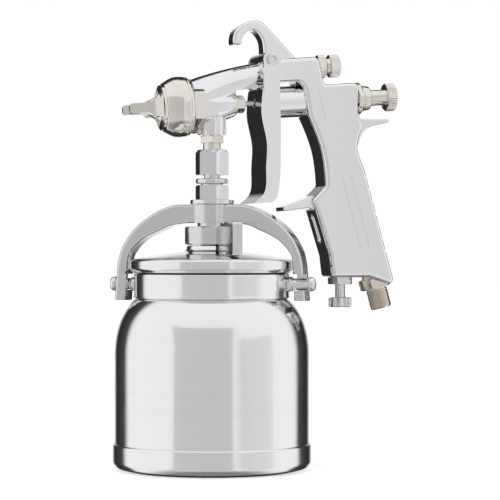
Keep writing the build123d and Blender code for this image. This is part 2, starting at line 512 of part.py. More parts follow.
stud = turned(STUD_LINE, [(44.0, 0), (44.0, 4.2), (47.6, 4.2), (48.0, 3.8), (48.0, STUD_R), (57.4, STUD_R),
                          (57.4, 4.1), (59.4, 4.1), (60.6, 3.2), (61.2, 1.6), (61.2, 0)])
with BuildPart() as clamp_studs:
    add(stud.part)
    mirror(stud.part, about=Plane(origin=(0, 0, 0), z_dir=YOKE_SIDE.x_dir))
    add(rod(UPRIGHT, 98.0, 115.0, COLLAR_R), mode=Mode.SUBTRACT)
save(clamp_studs, "clamp_studs")
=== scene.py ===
"""Suction-feed HVLP spray gun with a clamp-lid paint pot, put together from the pot's base up to the gun.

Lengths are metres in the CAD model's frame: origin at the centre of the pot's base, +Z up,
and the gun sprays towards -X.
"""
import json
from math import cos, pi, radians, sin

import bmesh
import bpy
import numpy as np
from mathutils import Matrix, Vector


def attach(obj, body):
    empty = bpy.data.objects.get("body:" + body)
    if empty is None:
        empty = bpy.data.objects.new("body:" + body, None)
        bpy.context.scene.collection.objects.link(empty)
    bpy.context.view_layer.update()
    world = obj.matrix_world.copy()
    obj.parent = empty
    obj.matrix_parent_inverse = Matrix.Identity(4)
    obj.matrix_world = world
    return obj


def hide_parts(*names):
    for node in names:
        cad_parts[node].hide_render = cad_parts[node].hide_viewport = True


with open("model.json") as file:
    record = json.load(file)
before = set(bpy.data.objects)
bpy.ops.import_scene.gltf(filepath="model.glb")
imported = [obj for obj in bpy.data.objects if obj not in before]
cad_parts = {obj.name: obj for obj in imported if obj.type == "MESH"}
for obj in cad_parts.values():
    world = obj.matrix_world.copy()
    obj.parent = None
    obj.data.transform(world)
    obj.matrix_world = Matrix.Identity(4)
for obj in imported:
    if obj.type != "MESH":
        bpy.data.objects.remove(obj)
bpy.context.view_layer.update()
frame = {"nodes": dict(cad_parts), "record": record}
MM = 0.001

# ---- Studio ----------------------------------------------------------------------
# A white sweep with a bright tent round it. Dark cards just outside the background give polished metal
# the thin dark outlines of a product shot, grey cards stand behind the camera, and the table is dim.
VIEW_TURN = radians(-16)
forward = np.array([-sin(VIEW_TURN), cos(VIEW_TURN), 0.0])
right = np.array([cos(VIEW_TURN), sin(VIEW_TURN), 0.0])
CAMERA_DISTANCE = 1.271
CAMERA_HEIGHT = 0.1237
POT_LEFT_OF_VIEW = 0.02185

camera_data = bpy.data.cameras.new("camera")
camera_data.sensor_width = 36.0
camera_data.lens = 159.1
camera_data.shift_y = 0.008
camera_data.clip_end = 50.0
camera = bpy.data.objects.new("camera", camera_data)
camera_foot = Vector(-CAMERA_DISTANCE * forward + POT_LEFT_OF_VIEW * right)
camera.location = camera_foot + Vector((0, 0, CAMERA_HEIGHT))
camera.rotation_euler = (pi / 2, 0, VIEW_TURN)
bpy.context.scene.collection.objects.link(camera)
bpy.context.scene.camera = camera
bpy.context.scene.view_settings.view_transform = "Standard"

world = bpy.data.worlds.new("tent")
bpy.context.scene.world = world
world.use_nodes = True
sky = world.node_tree
sky.nodes.clear()
sky_out = sky.nodes.new("ShaderNodeOutputWorld")
direction = sky.nodes.new("ShaderNodeTexCoord")
along_view = sky.nodes.new("ShaderNodeVectorMath")
along_view.operation = "DOT_PRODUCT"
along_view.inputs[1].default_value = forward
sky.links.new(direction.outputs["Generated"], along_view.inputs[0])
tent = sky.nodes.new("ShaderNodeMapRange")
tent.inputs["From Min"].default_value = -1
tent.inputs["From Max"].default_value = 1
sky.links.new(along_view.outputs["Value"], tent.inputs["Value"])
cards = sky.nodes.new("ShaderNodeValToRGB")
TENT_STOPS = [              # degrees from the line of view, brightness
    (180, 0.86), (150, 0.88), (128, 0.94), (70, 0.97), (64, 0.9), (56, 0.06), (28, 0.02), (22, 0.35),
    (15, 0.85), (0, 0.95)]
ramp = cards.color_ramp
for angle_from_view, brightness in TENT_STOPS:
    place = (cos(radians(angle_from_view)) + 1) / 2
    stop = ramp.elements.new(place)
    stop.color = (brightness, brightness, brightness * 1.01, 1)
ramp.elements.remove(ramp.elements[0])
ramp.elements.remove(ramp.elements[-1])
sky.links.new(tent.outputs["Result"], cards.inputs["Fac"])
along_right = sky.nodes.new("ShaderNodeVectorMath")
along_right.operation = "DOT_PRODUCT"
along_right.inputs[1].default_value = right
sky.links.new(direction.outputs["Generated"], along_right.inputs[0])
upward = sky.nodes.new("ShaderNodeSeparateXYZ")
sky.links.new(direction.outputs["Generated"], upward.inputs["Vector"])


def between(value, low, high, blur):
    """1 where the value lies between low and high, falling to 0 over the blur on each side."""
    product = None
    for start, end in ((low - blur, low + blur), (high + blur, high - blur)):
        step = sky.nodes.new("ShaderNodeMapRange")
        step.interpolation_type = "SMOOTHSTEP"
        step.inputs["From Min"].default_value = start
        step.inputs["From Max"].default_value = end
        sky.links.new(value, step.inputs["Value"])
        if product is None:
            product = step.outputs["Result"]
        else:
            both = sky.nodes.new("ShaderNodeMath")
            both.operation = "MULTIPLY"
            sky.links.new(product, both.inputs[0])
            sky.links.new(step.outputs["Result"], both.inputs[1])
            product = both.outputs[0]
    return product


behind_camera = between(along_view.outputs["Value"], -2.0, -0.2, 0.02)
colour = cards.outputs["Color"]


def hang_card(lit, where, shade):
    """The light with a card of the given shade over the directions where the mask is 1."""
    card = sky.nodes.new("ShaderNodeMix")
    card.data_type = "RGBA"
    card.blend_type = "MULTIPLY"
    card.inputs["B"].default_value = (shade, shade * 0.99, shade, 1)
    sky.links.new(where, card.inputs["Factor"])
    sky.links.new(lit, card.inputs["A"])
    return card.outputs["Result"]


# Two cards behind the camera, each a patch of directions by how far they point right and up.
for low_right, high_right, low_up, high_up, blur, shade in (
        (-0.69, 0.42, -0.75, 0.55, 0.01, 0.7), (0.53, 0.97, -0.75, 0.3, 0.07, 0.8)):
    mask = sky.nodes.new("ShaderNodeMath")
    mask.operation = "MULTIPLY"
    sky.links.new(between(along_right.outputs["Value"], low_right, high_right, blur), mask.inputs[0])
    sky.links.new(between(upward.outputs["Z"], low_up, high_up, 0.03), mask.inputs[1])
    in_front = sky.nodes.new("ShaderNodeMath")
    in_front.operation = "MULTIPLY"
    sky.links.new(mask.outputs[0], in_front.inputs[0])
    sky.links.new(behind_camera, in_front.inputs[1])
    colour = hang_card(colour, in_front.outputs[0], shade)
# The dim table, straight below.
colour = hang_card(colour, between(upward.outputs["Z"], -2.0, -0.8, 0.12), 0.25)
tent_light = sky.nodes.new("ShaderNodeBackground")
sky.links.new(colour, tent_light.inputs["Color"])
backdrop = sky.nodes.new("ShaderNodeBackground")
backdrop.inputs["Color"].default_value = (1, 1, 1, 1)
seen_by = sky.nodes.new("ShaderNodeLightPath")
choose = sky.nodes.new("ShaderNodeMixShader")
sky.links.new(seen_by.outputs["Is Camera Ray"], choose.inputs["Fac"])
sky.links.new(tent_light.outputs["Background"], choose.inputs[1])
sky.links.new(backdrop.outputs["Background"], choose.inputs[2])
sky.links.new(choose.outputs["Shader"], sky_out.inputs["Surface"])


def soft_box(name, place, aim, size, power):
    """Square area light at a place, turned to face a point."""
    data = bpy.data.lights.new(name, "AREA")
    data.size = size
    data.energy = power
    lamp = bpy.data.objects.new(name, data)
    lamp.visible_glossy = False
    lamp.location = place
    lamp.rotation_euler = (Vector(aim) - Vector(place)).to_track_quat("-Z", "Y").to_euler()
    bpy.context.scene.collection.objects.link(lamp)


soft_box("key_box", (-0.9, -1.0, 1.3), (0, 0, 0.12), 0.8, 4)
soft_box("rear_box", (1.1, 0.9, 1.2), (0, 0, 0.12), 0.9, 3)

floor_mesh = bpy.data.meshes.new("floor")
FLOOR_R = 8
FLOOR_SIDES = 96
FLOOR_DROP = 0.0004         # below the pot's foot, so the two don't share a face
turn = np.linspace(0, 2 * pi, FLOOR_SIDES, endpoint=False)
floor_rim = np.stack([FLOOR_R * np.cos(turn), FLOOR_R * np.sin(turn), 0 * turn - FLOOR_DROP], axis=1)
floor_mesh.from_pydata(floor_rim.tolist(), [], [list(range(FLOOR_SIDES))])
floor = bpy.data.objects.new("floor", floor_mesh)
bpy.context.scene.collection.objects.link(floor)
# The eye sees a white sweep here, and the metal sees the tent through it.
floor_paint = bpy.data.materials.new("pale_floor")
floor_paint.use_nodes = True
floor_tree = floor_paint.node_tree
floor_shader = floor_tree.nodes["Principled BSDF"]
floor_shader.inputs["Base Color"].default_value = (0.88, 0.88, 0.88, 1)
floor_shader.inputs["Roughness"].default_value = 0.9
floor_shader.inputs["Specular IOR Level"].default_value = 0.0
floor_shader.inputs["Emission Color"].default_value = (1, 1, 1, 1)
floor_shader.inputs["Emission Strength"].default_value = 0.42
floor_in_metal = floor_tree.nodes.new("ShaderNodeBsdfTransparent")
looked_at = floor_tree.nodes.new("ShaderNodeLightPath")
floor_choice = floor_tree.nodes.new("ShaderNodeMixShader")
floor_tree.links.new(looked_at.outputs["Is Camera Ray"], floor_choice.inputs["Fac"])
floor_tree.links.new(floor_in_metal.outputs["BSDF"], floor_choice.inputs[1])
floor_tree.links.new(floor_shader.outputs["BSDF"], floor_choice.inputs[2])
floor_tree.links.new(floor_choice.outputs["Shader"], floor_tree.nodes["Material Output"].inputs["Surface"])
floor_mesh.materials.append(floor_paint)

# ---- Cup base --------------------------------------------------------------------
# The foot of the pot: a pressed aluminium pan with a thick band round it. The cup's wall
# stands in it, its floor is the cup's floor, and the pot rests on its flat underside.
record = frame["record"]
node_body = {node: body for body, nodes in record["behaviour"]["bodies"].items() for node in nodes}
UPRIGHT = (np.array([0.0, 0.0, 0.0]), np.array([0.0, 0.0, 1.0]), np.array([1.0, 0.0, 0.0]))


def surface(name, grid, loop=False):
    """Skin over a grid of points in mm. Columns run round the piece and rows along it; a loop also joins
    the last row to the first, and otherwise both end rings are closed with a face."""
    rows, around = grid.shape[:2]
    index = np.arange(rows * around).reshape(rows, around)
    if loop:
        index = np.vstack([index, index[:1]])
    beside = np.roll(index, -1, axis=1)
    quads = np.stack([index[:-1], beside[:-1], beside[1:], index[1:]], axis=-1).reshape(-1, 4)
    mesh = bpy.data.meshes.new(name)
    mesh.from_pydata((grid.reshape(-1, 3) * MM).tolist(), [], quads.tolist())
    build = bmesh.new()
    build.from_mesh(mesh)
    bmesh.ops.remove_doubles(build, verts=build.verts, dist=2e-6)
    open_edges = [edge for edge in build.edges if edge.is_boundary]
    if open_edges:
        bmesh.ops.holes_fill(build, edges=open_edges)
    bmesh.ops.recalc_face_normals(build, faces=build.faces)
    build.to_mesh(mesh)
    build.free()
    mesh.shade_smooth()
    mesh.set_sharp_from_angle(angle=radians(32))
    piece = bpy.data.objects.new(name, mesh)
    bpy.context.scene.collection.objects.link(piece)
    return piece


def softened(profile, size, steps=4):
    """Closed outline with each corner off the axis replaced by a curve through the corner's two cut points,
    a quadratic Bezier with the corner as its middle handle."""
    points = np.array(profile, float)
    out = []
    for here, before, after in zip(points, np.roll(points, 1, axis=0), np.roll(points, -1, axis=0)):
        if here[1] < 1e-6:
            out.append(here)
            continue
        reach_back = min(size, 0.45 * np.linalg.norm(before - here))
        reach_on = min(size, 0.45 * np.linalg.norm(after - here))
        start = here + (before - here) / np.linalg.norm(before - here) * reach_back
        end = here + (after - here) / np.linalg.norm(after - here) * reach_on
        share = np.linspace(0, 1, steps)[:, None]
        out.extend((1 - share) ** 2 * start + 2 * share * (1 - share) * here + share**2 * end)
    return np.array(out)


def turned(name, line, profile, soft=0.25, around=144, ribs=0, rib_depth=0.0, rib_span=(0.0, 0.0),
           flats=None, flats_turn=0.0, thread=None):
    """Surface of revolution: profile point (s, r) goes to origin + s * along + r * out, and out is
    cos a * across + sin a * side. Inside the rib span, where r is over 0.8 of its most, it dips by
    rib_depth times the squared sine of a * ribs / 2. The flats are (width, start, end): between start
    and end, r is at most width / 2 / cos((a - flats_turn) mod 60 - 30 degrees), a hexagon. Where r is
    over the root, a thread (pitch, depth, start, end, root) takes off depth times a triangle wave of
    s / pitch - a / 360 degrees, and runs out at its ends."""
    origin, along, across = line
    side = np.cross(along, across)
    outline = softened(profile, soft)
    turn = np.linspace(0, 2 * pi, around, endpoint=False)[None, :]
    reach, radius = outline[:, :1], outline[:, 1:] + 0 * turn
    crown = radius > 0.8 * outline[:, 1].max()
    if ribs:
        inside = (reach > rib_span[0]) & (reach < rib_span[1]) & crown
        radius = radius - rib_depth * inside * np.sin(turn * ribs / 2) ** 2
    if flats:
        width, start, end = flats
        hexagon = width / 2 / np.cos((turn - radians(flats_turn)) % (pi / 3) - pi / 6)
        radius = np.where((reach > start) & (reach < end), np.minimum(radius, hexagon), radius)
    if thread:
        pitch, depth, start, end, root = thread
        wave = 1 - np.abs(2 * ((reach / pitch - turn / (2 * pi)) % 1) - 1)
        run_out = np.clip(np.minimum(reach - start, end - reach) / (0.6 * pitch), 0, 1)
        radius = radius - depth * wave * run_out * (radius > root)
    ring = np.cos(turn)[..., None] * across + np.sin(turn)[..., None] * side
    grid = origin + reach[..., None] * along + radius[..., None] * ring
    return surface(name, grid, loop=True)


def stands_for(piece, node, material):
    """The piece takes the CAD node's place, with its body and the given material."""
    piece.data.materials.clear()
    piece.data.materials.append(material)
    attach(piece, node_body[node])
    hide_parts(node)


def finish_node(node, material):
    """The CAD node stays as it is, in the given material."""
    mesh = frame["nodes"][node].data
    mesh.materials.clear()
    mesh.materials.append(material)


def new_group(name, inputs, outputs):
    """Empty shader node group with float inputs (name, default) and the named outputs."""
    group = bpy.data.node_groups.new(name, "ShaderNodeTree")
    for label, value in inputs:
        socket = group.interface.new_socket(label, in_out="INPUT", socket_type="NodeSocketFloat")
        socket.default_value = value
    for label, kind in outputs:
        group.interface.new_socket(label, in_out="OUTPUT", socket_type=kind)
    return group, group.nodes.new("NodeGroupInput"), group.nodes.new("NodeGroupOutput")


def math_node(tree, operation, first, second=None):
    """Math node fed by sockets or numbers."""
    node = tree.nodes.new("ShaderNodeMath")
    node.operation = operation
    for slot_index, value in enumerate((first, second)):
        if value is None:
            continue
        if isinstance(value, (int, float)):
            node.inputs[slot_index].default_value = value
        else:
            tree.links.new(value, node.inputs[slot_index])
    return node.outputs[0]


# Lathe marks: noise that changes only along the turning line and with distance from it, so it runs round.
lathe_marks, marks_in, marks_out = new_group(
    "lathe_marks", [("Lines per mm", 2.0), ("Lean", 0.0), ("Foot X", 0.0), ("Foot Z", 0.0)],
    [("Height", "NodeSocketFloat"), ("Streak", "NodeSocketFloat")])
place = lathe_marks.nodes.new("ShaderNodeTexCoord")
shift = lathe_marks.nodes.new("ShaderNodeCombineXYZ")
lathe_marks.links.new(marks_in.outputs["Foot X"], shift.inputs["X"])
lathe_marks.links.new(marks_in.outputs["Foot Z"], shift.inputs["Z"])
from_foot = lathe_marks.nodes.new("ShaderNodeVectorMath")
from_foot.operation = "SUBTRACT"
lathe_marks.links.new(place.outputs["Object"], from_foot.inputs[0])
lathe_marks.links.new(shift.outputs["Vector"], from_foot.inputs[1])
lean_back = lathe_marks.nodes.new("ShaderNodeVectorRotate")
lean_back.rotation_type = "Y_AXIS"
lathe_marks.links.new(from_foot.outputs["Vector"], lean_back.inputs["Vector"])
lathe_marks.links.new(marks_in.outputs["Lean"], lean_back.inputs["Angle"])
parts = lathe_marks.nodes.new("ShaderNodeSeparateXYZ")
lathe_marks.links.new(lean_back.outputs["Vector"], parts.inputs["Vector"])
out_x = math_node(lathe_marks, "MULTIPLY", parts.outputs["X"], parts.outputs["X"])
out_y = math_node(lathe_marks, "MULTIPLY", parts.outputs["Y"], parts.outputs["Y"])
from_line = math_node(lathe_marks, "SQRT", math_node(lathe_marks, "ADD", out_x, out_y))
lines_scale = math_node(lathe_marks, "MULTIPLY", marks_in.outputs["Lines per mm"], 1000.0)
for output_name, share in (("Height", 1.0), ("Streak", 0.12)):
    scale = math_node(lathe_marks, "MULTIPLY", lines_scale, share)
    rings = lathe_marks.nodes.new("ShaderNodeCombineXYZ")
    lathe_marks.links.new(math_node(lathe_marks, "MULTIPLY", parts.outputs["Z"], scale), rings.inputs["X"])
    lathe_marks.links.new(math_node(lathe_marks, "MULTIPLY", from_line, scale), rings.inputs["Y"])
    noise = lathe_marks.nodes.new("ShaderNodeTexNoise")
    noise.inputs["Scale"].default_value = 1.0
    lathe_marks.links.new(rings.outputs["Vector"], noise.inputs["Vector"])
    lathe_marks.links.new(noise.outputs["Fac"], marks_out.inputs[output_name])

# Hand polish: slow waves left by the buffing wheel, and patches where the gloss is a little duller.
hand_polish, polish_in, polish_out = new_group(
    "hand_polish", [("Wave mm", 9.0), ("Gloss low", 0.04), ("Gloss high", 0.1)],
    [("Height", "NodeSocketFloat"), ("Roughness", "NodeSocketFloat")])
place = hand_polish.nodes.new("ShaderNodeTexCoord")
waves = hand_polish.nodes.new("ShaderNodeTexNoise")
waves.inputs["Detail"].default_value = 1.0
hand_polish.links.new(place.outputs["Object"], waves.inputs["Vector"])
waves_per_metre = math_node(hand_polish, "DIVIDE", 1000.0, polish_in.outputs["Wave mm"])
hand_polish.links.new(waves_per_metre, waves.inputs["Scale"])
hand_polish.links.new(waves.outputs["Fac"], polish_out.inputs["Height"])
patches = hand_polish.nodes.new("ShaderNodeTexNoise")
patches.inputs["Scale"].default_value = 55.0
patches.inputs["Detail"].default_value = 4.0
hand_polish.links.new(place.outputs["Object"], patches.inputs["Vector"])
gloss = hand_polish.nodes.new("ShaderNodeMapRange")
gloss.inputs["From Min"].default_value = 0.35
gloss.inputs["From Max"].default_value = 0.65
hand_polish.links.new(patches.outputs["Fac"], gloss.inputs["Value"])
hand_polish.links.new(polish_in.outputs["Gloss low"], gloss.inputs["To Min"])
hand_polish.links.new(polish_in.outputs["Gloss high"], gloss.inputs["To Max"])
hand_polish.links.new(gloss.outputs["Result"], polish_out.inputs["Roughness"])


def place_group(tree, group, **values):
    """Group node in a material, with its values set by input name."""
    node = tree.nodes.new("ShaderNodeGroup")
    node.node_tree = group
    for label, value in values.items():
        node.inputs[label.replace("_", " ")].default_value = value
    return node


def metal(name, colour, gloss_low, gloss_high, wave_mm, wave_height, lines=0.0, line_height=0.0,
          lean=0.0, foot=(0.0, 0.0), streak=0.0):
    """Polished or turned metal: hand polish gives its gloss and waves, and a metal with lines per mm has
    lathe marks too, about a turning line that stands on the foot and leans."""
    material = bpy.data.materials.new(name)
    material.use_nodes = True
    tree = material.node_tree
    shader = tree.nodes["Principled BSDF"]
    shader.inputs["Base Color"].default_value = (*colour, 1)
    shader.inputs["Metallic"].default_value = 1.0
    polish = place_group(tree, hand_polish, Wave_mm=wave_mm, Gloss_low=gloss_low, Gloss_high=gloss_high)
    tree.links.new(polish.outputs["Roughness"], shader.inputs["Roughness"])
    bump = tree.nodes.new("ShaderNodeBump")
    bump.inputs["Distance"].default_value = wave_height * MM
    tree.links.new(polish.outputs["Height"], bump.inputs["Height"])
    if lines:
        marks = place_group(tree, lathe_marks, Lines_per_mm=lines, Lean=lean,
                            Foot_X=foot[0], Foot_Z=foot[1])
        fine = tree.nodes.new("ShaderNodeBump")
        fine.inputs["Distance"].default_value = line_height * MM
        tree.links.new(marks.outputs["Height"], fine.inputs["Height"])
        tree.links.new(bump.outputs["Normal"], fine.inputs["Normal"])
        tree.links.new(fine.outputs["Normal"], shader.inputs["Normal"])
        tint = tree.nodes.new("ShaderNodeMix")
        tint.data_type = "RGBA"
        tint.inputs["A"].default_value = (*[c * (1 - streak) for c in colour], 1)
        tint.inputs["B"].default_value = (*colour, 1)
        tree.links.new(marks.outputs["Streak"], tint.inputs["Factor"])
        tree.links.new(tint.outputs["Result"], shader.inputs["Base Color"])
    else:
        tree.links.new(bump.outputs["Normal"], shader.inputs["Normal"])
    return material


spun_aluminium = metal("spun_aluminium", (0.89, 0.89, 0.885), 0.1, 0.15, wave_mm=30, wave_height=0.05,
                       lines=1.6, line_height=0.004, streak=0.06)
base_pan = turned("cup_base_pan", UPRIGHT, [
    (0, 0), (0, 51.6), (1.6, 55.4), (4.6, 57.2), (14.6, 57.2), (15.2, 56.5), (15.2, 56.1),
    (6.4, 56.1), (6.4, 54.7), (3.8, 53.0), (2.9, 50.0), (2.9, 0)], soft=0.9, around=240)
stands_for(base_pan, "cup_base", spun_aluminium)

# ---- Cup body --------------------------------------------------------------------
# The one-litre cup: spun from aluminium sheet, with a round shoulder drawn in to the neck
# and the wall carried up inside the collar.
WALL = 1.4
NECK_R = 43.3


def bend(start, handle, end):
    """Quadratic Bezier from start to end, drawn towards the handle."""
    start, handle, end = (np.array(point, float) for point in (start, handle, end))
    t = np.linspace(0, 1, 15)[:, None]
    return list((1 - t) ** 2 * start + 2 * t * (1 - t) * handle + t**2 * end)


cup_profile = [(6.45, 54.7), (6.45, 56.05)]
cup_profile += bend((68.0, 56.05), (87.5, 55.3), (97.5, 44.6))
cup_profile += [(98.4, NECK_R), (112.5, NECK_R), (112.5, NECK_R - WALL), (97.8, NECK_R - WALL)]
cup_profile += bend((96.4, 43.5), (86.5, 53.9), (68.0, 54.7))
cup = turned("cup_body_spun", UPRIGHT, cup_profile, soft=0.6, around=240)
stands_for(cup, "cup_body", spun_aluminium)

# ---- Cup collar and clamp studs --------------------------------------------------
# A rolled aluminium ring pressed round the neck, with a bead at each edge. Two steel studs are
# riveted into it, on the yoke's line, and the yoke's slots hook under them.
collar = turned("cup_collar_rolled", UPRIGHT, [
    (98.45, 43.35), (98.3, 44.6), (99.0, 45.1), (99.9, 44.8), (110.9, 44.8), (111.6, 45.0),
    (112.3, 44.6), (112.5, 43.35)], soft=0.4, around=200)
stands_for(collar, "cup_collar", spun_aluminium)

YOKE_TURN = radians(-30)
yoke_way = np.array([cos(YOKE_TURN), sin(YOKE_TURN), 0.0])
STUD_HEIGHT = 106.5
bright_steel = metal("bright_steel", (0.80, 0.80, 0.81), 0.08, 0.16, wave_mm=5, wave_height=0.004)
stud_profile = [(44.7, 0), (44.7, 4.2), (47.5, 4.2), (48.0, 3.7), (48.0, 3.3), (57.4, 3.3), (57.4, 4.1),
                (59.2, 4.1), (60.6, 3.2), (61.2, 1.4), (61.2, 0)]
upright_way = UPRIGHT[1]
stud_pair = [turned(f"stud_{side}", (STUD_HEIGHT * upright_way, side * yoke_way, upright_way),
                    stud_profile, soft=0.5, around=64) for side in (1, -1)]


def joined(name, pieces):
    """One object holding the given meshes."""
    build = bmesh.new()
    for piece in pieces:
        build.from_mesh(piece.data)
        bpy.data.objects.remove(piece)
    mesh = bpy.data.meshes.new(name)
    build.to_mesh(mesh)
    build.free()
    mesh.set_sharp_from_angle(angle=radians(32))
    whole = bpy.data.objects.new(name, mesh)
    bpy.context.scene.collection.objects.link(whole)
    return whole


stands_for(joined("clamp_studs_turned", stud_pair), "clamp_studs", bright_steel)

# ---- Lid -------------------------------------------------------------------------
# A cast aluminium lid, polished on a wheel: low dome, flat rim with a chamfer under it, and a
# boss in the middle that the spindle is screwed into. The gasket under it seals on the cup's neck.
polished_cast = metal("polished_cast", (0.87, 0.87, 0.875), 0.09, 0.14, wave_mm=14, wave_height=0.03,
                      lines=0.9, line_height=0.004, streak=0.05)
lid = turned("lid_cast", UPRIGHT, [
    (111.5, 6.4), (111.5, 41.6), (113.0, 41.6), (113.0, 45.3), (115.1, 47.4), (119.5, 47.4),
    (120.5, 46.5), (123.4, 30.0), (125.2, 16.5), (126.2, 15.0), (128.6, 14.2), (128.6, 6.4)],
    soft=0.5, around=240)
stands_for(lid, "lid", polished_cast)


def rubber(name, colour):
    """Moulded rubber: dark, dull, with a fine grain in its gloss."""
    material = bpy.data.materials.new(name)
    material.use_nodes = True
    tree = material.node_tree
    shader = tree.nodes["Principled BSDF"]
    shader.inputs["Base Color"].default_value = (*colour, 1)
    polish = place_group(tree, hand_polish, Wave_mm=0.8, Gloss_low=0.5, Gloss_high=0.7)
    tree.links.new(polish.outputs["Roughness"], shader.inputs["Roughness"])
    return material


black_rubber = rubber("black_rubber", (0.02, 0.02, 0.022))
white_ptfe = rubber("white_ptfe", (0.86, 0.86, 0.83))

# ---- Pickup tube, gasket and lid spindle -----------------------------------------
# The spindle is screwed through the lid: a steel stem with a flange for its nut and a ball nose for
# the gun's cone. Paint is drawn up the aluminium tube pressed in under it.
finish_node("pickup_tube", spun_aluminium)
finish_node("lid_gasket", black_rubber)
turned_steel = metal("turned_steel", (0.76, 0.76, 0.77), 0.1, 0.18, wave_mm=5, wave_height=0.004,
                     lines=3.0, line_height=0.003, streak=0.08)
spindle = turned("pot_spindle_turned", UPRIGHT, [
    (113.0, 3.2), (113.0, 6.4), (164.0, 6.4), (164.0, 8.9), (164.6, 9.4), (166.4, 9.4), (167.0, 8.9),
    (167.0, 4.6), (169.6, 4.6), (170.2, 6.2), (177.6, 6.2), (179.4, 4.6), (179.4, 3.2)],
    soft=0.3, around=96)
stands_for(spindle, "pot_spindle", turned_steel)
washer = turned("yoke_washer_pressed", UPRIGHT, [
    (152.2, 6.45), (152.2, 12.6), (154.8, 12.6), (154.8, 6.45)], soft=0.6, around=96)
stands_for(washer, "yoke_washer", bright_steel)
spindle_nut = turned("spindle_nut_hexagon", UPRIGHT, [
    (154.8, 6.45), (154.8, 8.9), (155.5, 9.9), (162.5, 9.9), (163.2, 8.9), (163.2, 6.45)],
    soft=0.25, around=240, flats=(17.0, 154.0, 164.0), flats_turn=30)
stands_for(spindle_nut, "spindle_nut", bright_steel)

# ---- Clamp yoke and cam lever ----------------------------------------------------
# The yoke is an aluminium casting with its two slots hooked under the collar's studs. Turning the
# cam lever between it and the lid lifts it and pulls the cup up against the gasket.
yoke_cast = metal("yoke_cast", (0.7, 0.7, 0.705), 0.1, 0.2, wave_mm=6, wave_height=0.09)
finish_node("yoke", yoke_cast)
finish_node("cam_lever", yoke_cast)

# ---- Union nut and fluid joint ---------------------------------------------------
# A steel union nut draws the spindle's nose up against the cone of the joint, which is a
# nickel-plated brass nipple locked in the gun's underside with a thin nut.
union = turned("union_nut_hexagon", UPRIGHT, [
    (169.0, 6.5), (169.0, 9.0), (169.9, 9.9), (182.0, 9.9), (183.5, 8.3), (183.5, 5.4), (182.1, 5.4),
    (182.1, 6.5)], soft=0.25, around=240, flats=(17.0, 168.0, 184.0), flats_turn=30)
stands_for(union, "union_nut", bright_steel)
nickel_upright = metal("nickel_upright", (0.82, 0.79, 0.73), 0.12, 0.2, wave_mm=6, wave_height=0.006,
                       lines=3.0, line_height=0.003, streak=0.08)
joint = turned("fluid_joint_turned", UPRIGHT, [
    (179.6, 3.2), (179.6, 5.1), (180.2, 6.0), (181.6, 6.0), (181.7, 5.2), (202.0, 5.2), (202.0, 3.2)],
    soft=0.15, around=96)
stands_for(joint, "fluid_joint", nickel_upright)
lock_nut = turned("joint_lock_nut_hexagon", UPRIGHT, [
    (187.4, 5.25), (187.4, 6.9), (187.9, 7.5), (191.1, 7.5), (191.6, 6.9), (191.6, 5.25)],
    soft=0.15, around=240, flats=(13.0, 187.0, 192.0), flats_turn=15)
stands_for(lock_nut, "joint_lock_nut", nickel_upright)

# ---- Gun body --------------------------------------------------------------------
# One aluminium forging, buffed and chrome plated: barrel, hook, valve housing and grip. Its
# surface keeps slow waves from the buffing wheel, and the plate is a mirror.
chrome = metal("chrome", (0.87, 0.86, 0.865), 0.03, 0.075, wave_mm=22, wave_height=0.05)
finish_node("gun_body", chrome)

# ---- Trigger and its pivot -------------------------------------------------------
# Pressed and chromed steel, two ears joined by a web in front of the air valve. It hangs on a stud
# through the body, held by a low screw.
TILT = radians(3.64)
AXIS_HEIGHT = 209.1
gun_way = np.array([cos(TILT), 0.0, sin(TILT)])
gun_up = np.array([-sin(TILT), 0.0, cos(TILT)])
across_gun = np.array([0.0, 1.0, 0.0])
AXIS_FOOT = np.array([0.0, 0.0, AXIS_HEIGHT])
trigger_chrome = metal("trigger_chrome", (0.86, 0.86, 0.865), 0.04, 0.09, wave_mm=9, wave_height=0.012)
finish_node("trigger", trigger_chrome)
PIVOT_LINE = (AXIS_FOOT + 33.1 * gun_way + 24.0 * gun_up, across_gun, gun_up)
PIN_END = 15.8
stud_rod = turned("trigger_pivot_stud_turned", PIVOT_LINE, [
    (-PIN_END, 1.25), (-PIN_END, 3.0), (PIN_END, 3.0), (PIN_END, 4.2), (PIN_END + 0.9, 4.1),
    (PIN_END + 1.3, 2.4), (PIN_END + 0.8, 1.6), (PIN_END + 0.8, 0), (-PIN_END + 8, 0),
    (-PIN_END + 8, 1.25)], soft=0.15, around=72)
stands_for(stud_rod, "trigger_pivot_stud", bright_steel)
pivot_screw = turned("trigger_pivot_screw_turned", PIVOT_LINE, [
    (-PIN_END + 7.5, 0), (-PIN_END + 7.5, 1.15), (-PIN_END, 1.15), (-PIN_END, 3.6),
    (-PIN_END - 0.6, 3.6), (-PIN_END - 1.4, 2.7), (-PIN_END - 1.4, 1.9), (-PIN_END - 0.4, 1.6),
    (-PIN_END - 0.4, 0)], soft=0.15, around=72, flats=(2.9, -PIN_END - 1.0, -PIN_END - 0.3))
stands_for(pivot_screw, "trigger_pivot_screw", bright_steel)

